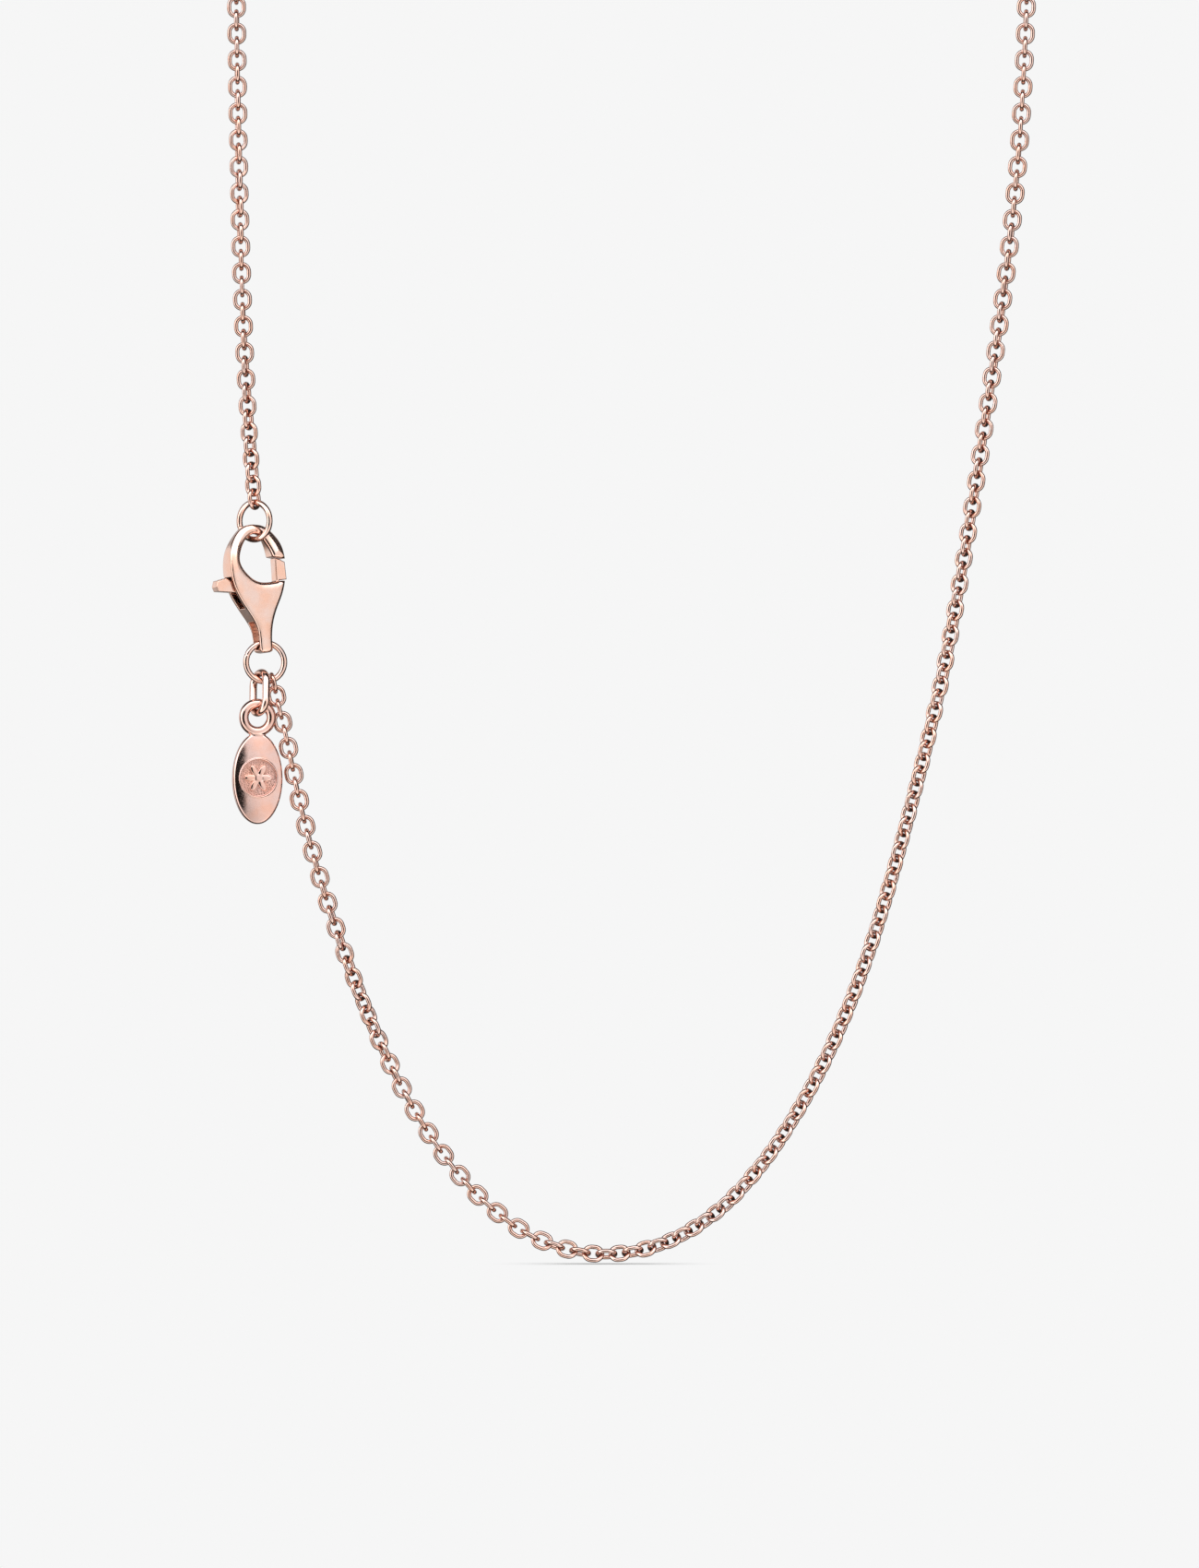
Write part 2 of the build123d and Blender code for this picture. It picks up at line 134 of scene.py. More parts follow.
# Heights of the nine cross lines about which both strands fold together.
# Whole numbers of links lie between them on both strands.
left_links_below_fold = 17        # links between the end ring and fold 5
links_per_fold = 20               # links between neighbouring folds 1 to 5
arch_links = 107                  # links over the top, above fold 1
right_56, right_67, right_78, right_89 = 20, 11, 15, 14
bottom_links = 49
left_98 = 14
left_87 = 15
fold_6_z = -141.548
fold_7_z = -152.574

# Twist of the chain along its length: (distance from the end ring, degrees).
twist_table = [
    (0.0, -34.0), (4.4, -31.0), (10.0, -12.0), (13.5, -2.0), (17.5, 0.0),
    (20.5, 8.0), (24.0, 17.0), (27.0, 14.0), (34.0, 3.0), (38.4, 0.0),
    (275.2, 0.0), (282.0, 2.0), (289.0, 7.0), (297.0, 13.0), (304.0, 17.0),
    (316.5, 27.0), (331.0, 38.0), (335.0, 43.0), (340.0, 45.0),
    (374.0, 45.0), (379.0, 42.0), (382.0, 33.0), (386.0, 22.0),
    (390.0, 6.0), (393.0, 1.0), (401.0, 0.0), (405.0, 10.0),
    (408.0, 20.0), (412.5, 45.0), (416.0, 68.0), (420.0, 82.0),
    (424.0, 86.0), (430.0, 90.0), (436.0, 92.0), (439.1, 100.0),
]


def smooth_path(points, steps=40):
    """Dense samples of a Catmull-Rom curve through the points."""
    ends = [tuple(2 * a - b for a, b in zip(points[0], points[1]))]
    ends += [tuple(p) for p in points]
    ends += [tuple(2 * a - b for a, b in zip(points[-1], points[-2]))]
    out = []
    for i in range(1, len(ends) - 2):
        a, b, c, e = ends[i - 1], ends[i], ends[i + 1], ends[i + 2]
        for k in range(steps):
            t = k / steps
            out.append(tuple(
                0.5 * (2 * b[j] + (c[j] - a[j]) * t
                       + (2 * a[j] - 5 * b[j] + 4 * c[j] - e[j]) * t * t
                       + (3 * b[j] - a[j] - 3 * c[j] + e[j]) * t ** 3)
                for j in (0, 1)))
    out.append(ends[-2])
    return out


curve = smooth_path(path_points)
reach = [0.0]
for a, b in zip(curve, curve[1:]):
    reach.append(reach[-1] + math.dist(a, b))
total = reach[-1]


def at(s):
    i = min(max(bisect.bisect_right(reach, s) - 1, 0), len(reach) - 2)
    f = (s - reach[i]) / (reach[i + 1] - reach[i])
    return tuple(curve[i][j] + (curve[i + 1][j] - curve[i][j]) * f for j in (0, 1))


def tangent(s):
    a, b = at(max(s - 0.5, 0.0)), at(min(s + 0.5, total))
    n = math.dist(a, b)
    return (b[0] - a[0]) / n, (b[1] - a[1]) / n


def distance_at_height(z, low, high):
    side = at(low)[1] - z
    for _ in range(60):
        mid = (low + high) / 2
        if (at(mid)[1] - z) * side > 0:
            low = mid
        else:
            high = mid
    return (low + high) / 2


def twist(s):
    for (a, va), (b, vb) in zip(twist_table, twist_table[1:]):
        if s <= b:
            return va + (vb - va) * (s - a) / (b - a)
    return twist_table[-1][1]


top_s = reach[max(range(len(curve)), key=lambda i: curve[i][1])]
bottom_s = reach[min(range(len(curve)), key=lambda i: curve[i][1])]
end_gap = link_half - ((link_wire + ring_wire) / 2 + play)

# Places along the chain where two links meet on a fold line.
left_fold = {
    5 - i: end_gap + base_pitch / 2 + (left_links_below_fold - 1 + links_per_fold * i) * base_pitch
    for i in range(5)
}
fold_z = {n: at(s)[1] for n, s in left_fold.items()}
fold_z[6], fold_z[7] = fold_6_z, fold_7_z
left_fold[8] = total - end_gap - base_pitch / 2 - (left_87 - 1) * base_pitch
left_fold[9] = left_fold[8] - left_98 * base_pitch
fold_z[8], fold_z[9] = at(left_fold[8])[1], at(left_fold[9])[1]
right_fold = {n: distance_at_height(z, top_s, bottom_s) for n, z in fold_z.items()}

# Runs of links: (first place, last place, number of links). A run that ends at a ring
# has its outermost link centre end_gap from the ring's wire.
runs = [("left_5", None, left_fold[5], left_links_below_fold)]
for n in (4, 3, 2, 1):
    runs.append((f"left_{n}", left_fold[n + 1], left_fold[n], links_per_fold))
runs.append(("top", left_fold[1], right_fold[1], arch_links))
for n in (1, 2, 3, 4):
    runs.append((f"right_{n}", right_fold[n], right_fold[n + 1], links_per_fold))
runs.append(("right_5", right_fold[5], right_fold[6], right_56))
runs.append(("right_6", right_fold[6], right_fold[7], right_67))
runs.append(("right_7", right_fold[7], right_fold[8], right_78))
runs.append(("right_8", right_fold[8], right_fold[9], right_89))
runs.append(("bottom", right_fold[9], left_fold[9], bottom_links))
runs.append(("return_8", left_fold[9], left_fold[8], left_98))
runs.append(("return_7", left_fold[8], None, left_87))

pieces_per_run = {"left_5": 2, "top": 12, "right_6": 1, "bottom": 5}

link_places = []          # (run name, distance along the chain) for each link
for name, first, last, count in runs:
    if first is None:
        step = (last - end_gap) / (count - 0.5)
        places = [end_gap + i * step for i in range(count)]
    elif last is None:
        step = (total - end_gap - first) / (count - 0.5)
        places = [first + (i + 0.5) * step for i in range(count)]
    else:
        step = (last - first) / count
        places = [first + (i + 0.5) * step for i in range(count)]
    link_places += [(name, s) for s in places]


def link_frame(k):
    """Centre, width direction and long direction of link k."""
    s = link_places[k][1]
    x, z = at(s)
    tx, tz = tangent(s)
    angle = math.radians(twist(s) + (90.0 if k % 2 == 0 else 0.0))
    across = (math.cos(angle) * tz, math.sin(angle), -math.cos(angle) * tx)
    return (x, 0.0, z), across, (tx, 0.0, tz)


# ---------------------------------------------------------------- mesh helpers
def make_mesh(name, points, quads, values=None):
    """A smooth-shaded mesh object from points in mm and an array of quads."""
    mesh = bpy.data.meshes.new(name)
    mesh.vertices.add(len(points))
    mesh.vertices.foreach_set("co", (np.asarray(points) * MM).astype(np.float32).ravel())
    quads = np.asarray(quads, np.int32)
    count, corners = quads.shape
    mesh.loops.add(count * corners)
    mesh.loops.foreach_set("vertex_index", quads.ravel())
    mesh.polygons.add(count)
    mesh.polygons.foreach_set("loop_start", np.arange(0, count * corners, corners, dtype=np.int32))
    mesh.update(calc_edges=True)
    mesh.polygons.foreach_set("use_smooth", np.ones(count, bool))
    for key, data in (values or {}).items():
        mesh.attributes.new(key, "FLOAT", "POINT").data.foreach_set("value", np.asarray(data, np.float32))
    mesh.validate()
    obj = bpy.data.objects.new(name, mesh)
    bpy.context.scene.collection.objects.link(obj)
    return obj


def closed_sweep(path, radius, sides, flat=1.0):
    """Round wire along a closed flat path in the local XZ plane."""
    path = np.asarray(path, float)
    step = np.roll(path, -1, 0) - np.roll(path, 1, 0)
    step /= np.linalg.norm(step, axis=1)[:, None]
    out = np.stack([step[:, 1], np.zeros(len(path)), -step[:, 0]], 1)
    centre = np.stack([path[:, 0], np.zeros(len(path)), path[:, 1]], 1)
    phi = np.arange(sides) * 2 * math.pi / sides
    ring = (np.cos(phi)[None, :, None] * out[:, None, :]
            + np.sin(phi)[None, :, None] * np.array([0.0, flat, 0.0]))
    points = centre[:, None, :] + np.broadcast_to(radius, len(path))[:, None, None] * ring
    return points.reshape(-1, 3), grid_quads(len(path), sides, True)


def grid_quads(rows, sides, closed):
    i, j = np.meshgrid(np.arange(rows if closed else rows - 1), np.arange(sides), indexing="ij")
    a = i * sides + j
    b = ((i + 1) % rows) * sides + j
    c = ((i + 1) % rows) * sides + (j + 1) % sides
    d = i * sides + (j + 1) % sides
    return np.stack([a, d, c, b], -1).reshape(-1, 4)


def stadium(half, half_width, arc_steps, side_steps):
    """Closed path: two half circles joined by straight sides, long way along Z."""
    f = half - half_width
    out = []
    for k in range(arc_steps):
        t = math.pi * k / arc_steps
        out.append((half_width * math.cos(t), f + half_width * math.sin(t)))
    for k in range(side_steps):
        out.append((-half_width, f - 2 * f * k / side_steps))
    for k in range(arc_steps):
        t = math.pi + math.pi * k / arc_steps
        out.append((half_width * math.cos(t), -f + half_width * math.sin(t)))
    for k in range(side_steps):
        out.append((half_width, -f + 2 * f * k / side_steps))
    return out


def placed(points, origin, x_dir, z_dir):
    """Local points put into the row frame, all in mm."""
    x, z = np.array(x_dir, float), np.array(z_dir, float)
    z /= np.linalg.norm(z)
    x = x - z * (x @ z)
    x /= np.linalg.norm(x)
    y = np.cross(z, x)
    return np.asarray(points) @ np.stack([x, y, z]) + np.array(origin, float)


def spline(points, n=60):
    """Smooth curve through the points: a natural cubic over chord length."""
    p = np.array(points, float)
    t = np.concatenate([[0], np.cumsum(np.linalg.norm(np.diff(p, axis=0), axis=1))])
    h, m = np.diff(t), len(p)
    a, b = np.zeros((m, m)), np.zeros((m, 2))
    a[0, 0] = a[-1, -1] = 1
    for i in range(1, m - 1):
        a[i, i - 1], a[i, i], a[i, i + 1] = h[i - 1], 2 * (h[i - 1] + h[i]), h[i]
        b[i] = 6 * ((p[i + 1] - p[i]) / h[i] - (p[i] - p[i - 1]) / h[i - 1])
    second = np.linalg.solve(a, b)
    ts = np.linspace(0, t[-1], n)
    i = np.clip(np.searchsorted(t, ts, side="right") - 1, 0, m - 2)
    u, w, hh = (t[i + 1] - ts)[:, None], (ts - t[i])[:, None], h[i][:, None]
    return (second[i] * u ** 3 + second[i + 1] * w ** 3) / (6 * hh) \
        + (p[i] / hh - second[i] * hh / 6) * u + (p[i + 1] / hh - second[i + 1] * hh / 6) * w


def segment_distance(points, a, b):
    out = np.empty(len(points))
    ab = b - a
    size = (ab * ab).sum(-1) + 1e-18
    for s in range(0, len(points), 16000):
        p = points[s:s + 16000, None, :]
        ap = p - a
        t = np.clip((ap * ab).sum(-1) / size, 0, 1)
        q = ap - t[..., None] * ab
        out[s:s + 16000] = (q * q).sum(-1).min(1)
    return np.sqrt(out)


def polygon_distance(points, polygon):
    """Signed distance to a closed polygon, negative inside."""
    a, b = polygon, np.roll(polygon, -1, 0)
    far = segment_distance(points, a, b)
    rise = np.where(np.abs(b[:, 1] - a[:, 1]) < 1e-12, 1e-12, b[:, 1] - a[:, 1])
    inside = np.empty(len(points), bool)
    for s in range(0, len(points), 40000):
        px, py = points[s:s + 40000, 0:1], points[s:s + 40000, 1:2]
        cut = (a[:, 1] > py) != (b[:, 1] > py)
        x = a[:, 0] + (py - a[:, 1]) * (b[:, 0] - a[:, 0]) / rise
        inside[s:s + 40000] = (cut & (px < x)).sum(1) % 2 == 1
    return np.where(inside, -far, far)


def round_and(a, b, r):
    """Where both hold, with an edge of radius r."""
    return np.minimum(np.maximum(a, b), -r) + np.hypot(np.maximum(a + r, 0), np.maximum(b + r, 0))


def round_or(a, b, r):
    return -round_and(-a, -b, r)


def skin(field, low, high, step, passes=3):
    """Closed mesh of the surface where field is zero, drawn onto that surface exactly."""
    low = np.array(low, float)
    n = [int(math.ceil((h - l) / step)) + 1 for l, h in zip(low, high)]
    axes = [low[k] + step * np.arange(n[k]) for k in range(3)]
    grid = np.stack(np.meshgrid(*axes, indexing="ij"), -1).reshape(-1, 3)
    v = field(grid).reshape(n)
    neg = v < 0
    cells = tuple(k - 1 for k in n)
    total_in = np.zeros(cells, int)
    for dx in (0, 1):
        for dy in (0, 1):
            for dz in (0, 1):
                total_in += neg[dx:dx + cells[0], dy:dy + cells[1], dz:dz + cells[2]]
    active = (total_in > 0) & (total_in < 8)
    acc, cnt = np.zeros(cells + (3,)), np.zeros(cells)
    for ax in range(3):
        o1, o2 = (ax + 1) % 3, (ax + 2) % 3
        for a in (0, 1):
            for b in (0, 1):
                lo, hi = [None] * 3, [None] * 3
                lo[ax], hi[ax] = slice(0, cells[ax]), slice(1, cells[ax] + 1)
                lo[o1] = hi[o1] = slice(a, a + cells[o1])
                lo[o2] = hi[o2] = slice(b, b + cells[o2])
                v0, v1 = v[tuple(lo)], v[tuple(hi)]
                cross = (v0 < 0) != (v1 < 0)
                t = np.where(cross, v0 / np.where(cross, v0 - v1, 1.0), 0.0)
                acc[..., ax] += t
                acc[..., o1] += cross * a
                acc[..., o2] += cross * b
                cnt += cross
    index = -np.ones(cells, int)
    index[active] = np.arange(active.sum())
    where = np.argwhere(active)
    points = low + step * (where + acc[active] / cnt[active][:, None])
    quads = []
    for ax in range(3):
        o1, o2 = (ax + 1) % 3, (ax + 2) % 3
        lo, hi = [slice(None)] * 3, [slice(None)] * 3
        lo[ax], hi[ax] = slice(0, n[ax] - 1), slice(1, n[ax])
        change = neg[tuple(lo)] != neg[tuple(hi)]
        e = np.argwhere(change)
        e = e[(e[:, o1] > 0) & (e[:, o1] < n[o1] - 1) & (e[:, o2] > 0) & (e[:, o2] < n[o2] - 1)]
        u1, u2 = np.eye(3, dtype=int)[o1], np.eye(3, dtype=int)[o2]
        q = np.stack([index[tuple(c.T)] for c in (e, e - u1, e - u1 - u2, e - u2)], 1)
        flip = ~neg[tuple(e.T)]
        q[flip] = q[flip][:, ::-1]
        quads.append(q)
    quads = np.concatenate(quads)
    h = step * 0.1
    for _ in range(passes):
        base = field(points)
        grad = np.stack([(field(points + np.eye(3)[k] * h) - base) / h for k in range(3)], 1)
        size = np.maximum((grad * grad).sum(1), 0.15)
        move = -(base / size)[:, None] * grad
        far = np.linalg.norm(move, axis=1)
        move *= np.minimum(1.0, 0.5 * step / np.maximum(far, 1e-12))[:, None]
        points = points + move
    return points, outward(points, quads)


def outward(points, quads):
    """Quads turned so that their normals point out of the solid."""
    a, b, c, d = (points[quads[:, k]] for k in range(4))
    volume = (np.einsum("ij,ij->i", a, np.cross(b, c)) + np.einsum("ij,ij->i", a, np.cross(c, d))).sum()
    return quads if volume > 0 else quads[:, ::-1]


# ---------------------------------------------------------------- materials
def metal(name, body, deep, rough, tone="piece_tone", scratch=1.0, grain=False, wear=0.5):
    """Polished plated metal: colour drift, hairline polishing marks, painted shade that darkens
    the crevices, brighter rubbed edges. Lengths in the nodes are in mm."""
    mat = bpy.data.materials.new(name)
    mat.use_nodes = True
    tree = mat.node_tree
    nodes, links = tree.nodes, tree.links
    nodes.clear()

    def node(kind, **settings):
        made = nodes.new(kind)
        for k, x in settings.items():
            setattr(made, k, x)
        return made

    def put(target, value):
        if hasattr(value, "outputs"):
            value = value.outputs[0]
        if hasattr(value, "is_linked"):
            links.new(value, target)
        else:
            target.default_value = value

    def calc(op, a, b=0.0, c=0.0, clamp=False):
        made = node("ShaderNodeMath", operation=op, use_clamp=clamp)
        for socket, value in zip(made.inputs, (a, b, c)):
            put(socket, value)
        return made

    def spread(value, low, high, to_low, to_high):
        made = node("ShaderNodeMapRange", clamp=True)
        for socket, x in zip(made.inputs[:5], (value, low, high, to_low, to_high)):
            put(socket, x)
        return made

    def mixed(factor, a, b, kind="MIX"):
        made = node("ShaderNodeMix", data_type="RGBA", blend_type=kind)
        put(made.inputs["Factor"], factor)
        put(made.inputs[6], a)
        put(made.inputs[7], b)
        return made.outputs[2]

    coords = node("ShaderNodeTexCoord")
    in_mm = node("ShaderNodeMapping")
    in_mm.inputs["Scale"].default_value = (1000, 1000, 1000)
    links.new(coords.outputs["Object"], in_mm.inputs["Vector"])

    def noise(scale, detail=3.0, stretch=None, turn=(0, 0, 0)):
        source = in_mm
        if stretch:
            source = node("ShaderNodeMapping")
            source.inputs["Scale"].default_value = stretch
            source.inputs["Rotation"].default_value = turn
            links.new(in_mm.outputs[0], source.inputs["Vector"])
        made = node("ShaderNodeTexNoise")
        made.inputs["Scale"].default_value = scale
        made.inputs["Detail"].default_value = detail
        links.new(source.outputs[0], made.inputs["Vector"])
        return made.outputs[0]

    drift = noise(0.9, 3.0)
    mottle = noise(4.5, 4.0)
    per_piece = node("ShaderNodeAttribute", attribute_name=tone)
    tone_value = per_piece.outputs["Fac"]

    warm = tuple(min(1.0, c * k) for c, k in zip(body, (1.03, 0.93, 0.86))) + (1,)
    cool = tuple(min(1.0, c * k) for c, k in zip(body, (0.98, 1.05, 1.10))) + (1,)
    colour = mixed(spread(drift, 0.35, 0.65, 0.0, 1.0), warm, cool)
    shade = calc("ADD", spread(mottle, 0.3, 0.7, 0.965, 1.02), calc("MULTIPLY", calc("SUBTRACT", tone_value, 0.5), 0.07))
    grey = node("ShaderNodeCombineColor")
    for k in range(3):
        links.new(shade.outputs[0], grey.inputs[k])
    colour = mixed(1.0, colour, grey, "MULTIPLY")

    # painted shade: ambient occlusion darkens the colour towards the deep colour in crevices and where links touch, and
    # roughens them a little
    crevice = node("ShaderNodeAmbientOcclusion", samples=6)
    crevice.inputs["Distance"].default_value = 0.00035
    painted_crevice_shade = calc("MULTIPLY", spread(crevice.outputs["AO"], 0.15, 0.75, 1.0, 0.0), 0.72)
    colour = mixed(painted_crevice_shade, colour, tuple(deep) + (1,))

    point = node("ShaderNodeNewGeometry")
    rubbed = calc("MULTIPLY", spread(point.outputs["Pointiness"], 0.52, 0.60, 0.0, 1.0), wear)
    colour = mixed(calc("MULTIPLY", rubbed, 0.35), colour, tuple(min(1.0, c * 1.12) for c in body) + (1,))

    hair_a = noise(1.0, 2.0, (3.0, 60.0, 9.0), (0.4, 0.3, 0.9))
    hair_b = noise(1.0, 2.0, (55.0, 4.0, 7.0), (0.9, 0.1, -0.5))
    hair_c = noise(1.0, 2.0, (6.0, 8.0, 70.0), (0.2, -0.6, 0.3))
    hairs = calc("MAXIMUM", calc("MAXIMUM", spread(hair_a, 0.62, 0.72, 0, 1), spread(hair_b, 0.63, 0.73, 0, 1)),
                 spread(hair_c, 0.64, 0.74, 0, 1))
    roughness = calc("ADD", rough, calc("MULTIPLY", spread(mottle, 0.35, 0.7, 0.0, 1.0), 0.045))
    roughness = calc("ADD", roughness, calc("MULTIPLY", hairs, 0.07 * scratch))
    roughness = calc("ADD", roughness, calc("MULTIPLY", painted_crevice_shade, 0.16))
    height = calc("MULTIPLY", hairs, -0.24 * scratch)
    orange_peel = calc("MULTIPLY", noise(2.6, 1.0), 0.9)
    height = calc("ADD", height, orange_peel)
    if grain:
        rough_part = node("ShaderNodeAttribute", attribute_name="grain").outputs["Fac"]
        voronoi = node("ShaderNodeTexVoronoi")
        voronoi.inputs["Scale"].default_value = 9.0
        links.new(in_mm.outputs[0], voronoi.inputs["Vector"])
        pits = calc("MULTIPLY", voronoi.outputs["Distance"], calc("MULTIPLY", rough_part, 9.0))
        height = calc("ADD", height, pits)
        roughness = calc("ADD", roughness, calc("MULTIPLY", rough_part, 0.22))
        colour = mixed(calc("MULTIPLY", rough_part, 0.30), colour, tuple(deep) + (1,))
    bump = node("ShaderNodeBump")
    bump.inputs["Strength"].default_value = 0.35
    bump.inputs["Distance"].default_value = 0.000012
    links.new(height.outputs[0], bump.inputs["Height"])

    shader = node("ShaderNodeBsdfPrincipled")
    shader.inputs["Metallic"].default_value = 1.0
    links.new(colour, shader.inputs["Base Color"])
    links.new(roughness.outputs[0], shader.inputs["Roughness"])
    links.new(bump.outputs[0], shader.inputs["Normal"])
    out = node("ShaderNodeOutputMaterial")
    links.new(shader.outputs[0], out.inputs["Surface"])
    mat.diffuse_color = tuple(body) + (1,)
    return mat


rose = (0.80, 0.540, 0.455)
# deep_rose is the dark colour that the painted crevice shade darkens towards; the grained tag recess is tinted with it
# too
deep_rose = (0.40, 0.105, 0.060)
chain_metal = metal("rose_gold_chain", rose, deep_rose, 0.085, scratch=0.6, wear=0.6)
clasp_metal = metal("rose_gold_clasp", (0.87, 0.600, 0.495), deep_rose, 0.10, scratch=1.0)
ring_metal = metal("rose_gold_ring", (0.86, 0.610, 0.520), deep_rose, 0.07, scratch=0.8)
tag_metal = metal("rose_gold_tag", (0.83, 0.545, 0.465), deep_rose, 0.075, scratch=0.8, grain=True)
rivet_metal = metal("rose_gold_rivet", (0.84, 0.52, 0.40), deep_rose, 0.16, scratch=1.4)
spring_metal = metal("spring_wire_steel", (0.62, 0.61, 0.60), (0.10, 0.09, 0.08), 0.24, scratch=1.6)


def finish_piece(obj, material, body, nodes_):
    obj.data.materials.append(material)
    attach(obj, body)
    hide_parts(*nodes_)
    return obj


node_body = {n: b for b, members in frame["record"]["behaviour"]["bodies"].items() for n in members}

# ---------------------------------------------------------------- chain
rng = np.random.default_rng(11)
half_w = (link_width - link_wire) / 2
link_path = np.array(stadium(link_half, half_w, 17, 5))
along_path = np.arange(len(link_path)) / len(link_path)
# the soldered joint: a slight swelling, half way along one side
joint_at = (17 + 2.5) / len(link_path)
gap_from_joint = (along_path - joint_at) * 4.6
wire = link_wire / 2 * (1 + 0.035 * np.exp(-(gap_from_joint / 0.16) ** 2))
link_points, link_quads = closed_sweep(link_path, wire, 14)

first = 0
for run, _, _, count in runs:
    pieces = pieces_per_run.get(run, 2)
    for i in range(pieces):
        last = first + (count * (i + 1)) // pieces - (count * i) // pieces
        pts, qs, tones = [], [], []
        for k in range(first, last):
            centre, across, along = link_frame(k)
            side = 1 if rng.random() < 0.5 else -1
            a, l = np.array(across) * side, np.array(along)
            depth = np.cross(l, a)
            roll = math.radians(rng.uniform(-2.5, 2.5))
            a = a * math.cos(roll) + depth * math.sin(roll)
            qs.append(link_quads + len(link_points) * len(pts))
            pts.append(placed(link_points, centre, a, l))
            tones.append(np.full(len(link_points), rng.random()))
        label = f"chain_{run}_{chr(97 + i)}"
        quads = np.concatenate(qs)
        obj = make_mesh(f"links_{run}_{chr(97 + i)}", np.concatenate(pts), quads,
                        {"piece_tone": np.concatenate(tones)})
        finish_piece(obj, chain_metal, node_body[label], [label])
        first = last


# ---------------------------------------------------------------- jump rings
def ring_mesh(name, radius, centre, yaw, joint_turn):
    n, sides = 220, 26
    t = np.arange(n) * 2 * math.pi / n
    path = np.stack([radius * np.cos(t), radius * np.sin(t)], 1)
    off = (t - math.radians(joint_turn) + math.pi) % (2 * math.pi) - math.pi
    size = ring_wire / 2 * (1 - 0.16 * np.exp(-(off * radius / 0.035) ** 2))
    pts, quads = closed_sweep(path, size, sides)
    c, s = math.cos(math.radians(yaw)), math.sin(math.radians(yaw))
    pts = placed(pts, centre, (c, s, 0), (0, 0, 1))
    return make_mesh(name, pts, quads, {"piece_tone": np.full(len(pts), 0.55)})


end_top = (path_points[0][0], 0.0, path_points[0][1])
end_centre = (end_top[0], 0.0, end_top[2] - end_ring_radius)
finish_piece(ring_mesh("end_jump_ring", end_ring_radius, end_centre, end_ring_yaw, 200),
             ring_metal, "end_ring", ["end_ring"])
meet = (path_points[-1][0], 0.0, path_points[-1][1])
meet_angle = math.radians(-66.7)
ry = math.radians(clasp_ring_yaw)
ox, oz = clasp_ring_radius * math.cos(meet_angle), clasp_ring_radius * math.sin(meet_angle)
clasp_ring_centre = (meet[0] - ox * math.cos(ry), -ox * math.sin(ry), meet[2] - oz)
finish_piece(ring_mesh("clasp_jump_ring", clasp_ring_radius, clasp_ring_centre, clasp_ring_yaw, 158),
             ring_metal, "clasp_ring", ["clasp_ring"])

# ---------------------------------------------------------------- clasp
tail_point = np.array([clasp_ring_centre[0] - 0.15, clasp_ring_centre[1], clasp_ring_centre[2] + clasp_ring_radius - 0.01])
hook_point = np.array([end_centre[0], 0, end_centre[2] - end_ring_radius])
clasp_up = (hook_point - tail_point) / np.linalg.norm(hook_point - tail_point)
cy = math.radians(clasp_yaw)
side_dir = np.array([math.cos(cy), math.sin(cy), 0.0])
clasp_origin = tail_point - clasp_up * tail_contact
hook_v = tail_contact + float(np.linalg.norm(hook_point - tail_point))
hook_in, hook_out = hook_v + ring_wire / 2 + 0.18, hook_v + ring_wire / 2 + 0.95

outer_left = [
    (-0.56, 0.10), (-0.58, 0.90), (-0.66, 1.70), (-1.06, 2.60), (-1.64, 3.55),
    (-2.20, 4.60), (-2.50, 5.50), (-2.60, 6.50), (-2.55, 7.40), (-2.28, 8.40),
    (-1.72, 9.25), (-0.95, hook_out - 0.14), (-0.10, hook_out), (0.80, hook_out - 0.16),
    (1.55, 9.25), (2.02, 8.50), (2.22, 7.14),
]
inner = [
    (1.15, 7.36), (0.98, 7.95), (0.74, 8.50), (0.42, 8.98), (0.0, hook_in),
    (-0.50, hook_in - 0.12), (-1.05, 8.65), (-1.50, 7.95), (-1.70, 7.20), (-1.52, 6.60),
    (-1.15, 6.10), (-0.70, 5.70), (-0.20, 5.46), (0.40, 5.38), (1.20, 5.42),
]
outer_right = [
    (2.04, 5.42), (1.90, 4.90), (1.62, 4.20), (1.20, 3.40), (0.86, 2.60),
    (0.64, 1.70), (0.57, 0.90), (0.56, 0.10),
]
left_line, inner_line, right_line = spline(outer_left, 90), spline(inner, 80), spline(outer_right, 40)
tail_arc = np.array([(0.56 * math.cos(t), 0.10 - 0.24 * math.sin(t)) for t in np.linspace(0, math.pi, 16)[1:-1]])
outline = np.concatenate([left_line, inner_line, right_line, tail_arc])
side_profile = spline([(-0.80, -0.3), (-0.86, 1.2), (-0.98, 2.8), (-1.0, 5.0),
                       (-0.98, 6.6), (-0.80, 7.9), (-0.50, 9.0), (-0.45, 10.4)], 120)
slot = np.array([
    (-3.4, 6.25), (-2.05, 5.80), (-0.95, 5.02), (0.50, 4.93), (0.62, 6.1), (1.78, 6.1),
    (1.70, 5.40), (1.52, 4.90), (1.27, 4.20), (0.90, 3.40), (0.55, 2.72), (0.45, 2.60),
    (-0.70, 2.60), (-1.22, 3.45), (-3.4, 3.45)])
eye = np.array([(-0.56, 0.60), (-0.56, 2.36), (0.56, 2.36), (0.56, 0.60)]
               + [(0.56 * math.cos(t), 0.60 - 0.43 * math.sin(t)) for t in np.linspace(0, math.pi, 14)[1:-1]])


# the opening, the hook's outer right side and the body's right side are well rounded
hook_right = left_line[(left_line[:, 0] > 0.1) & (left_line[:, 1] > 7.0)]
soft_edges = (np.concatenate([inner_line[:-1], right_line[:-1], hook_right[:-1]]),
              np.concatenate([inner_line[1:], right_line[1:], hook_right[1:]]))


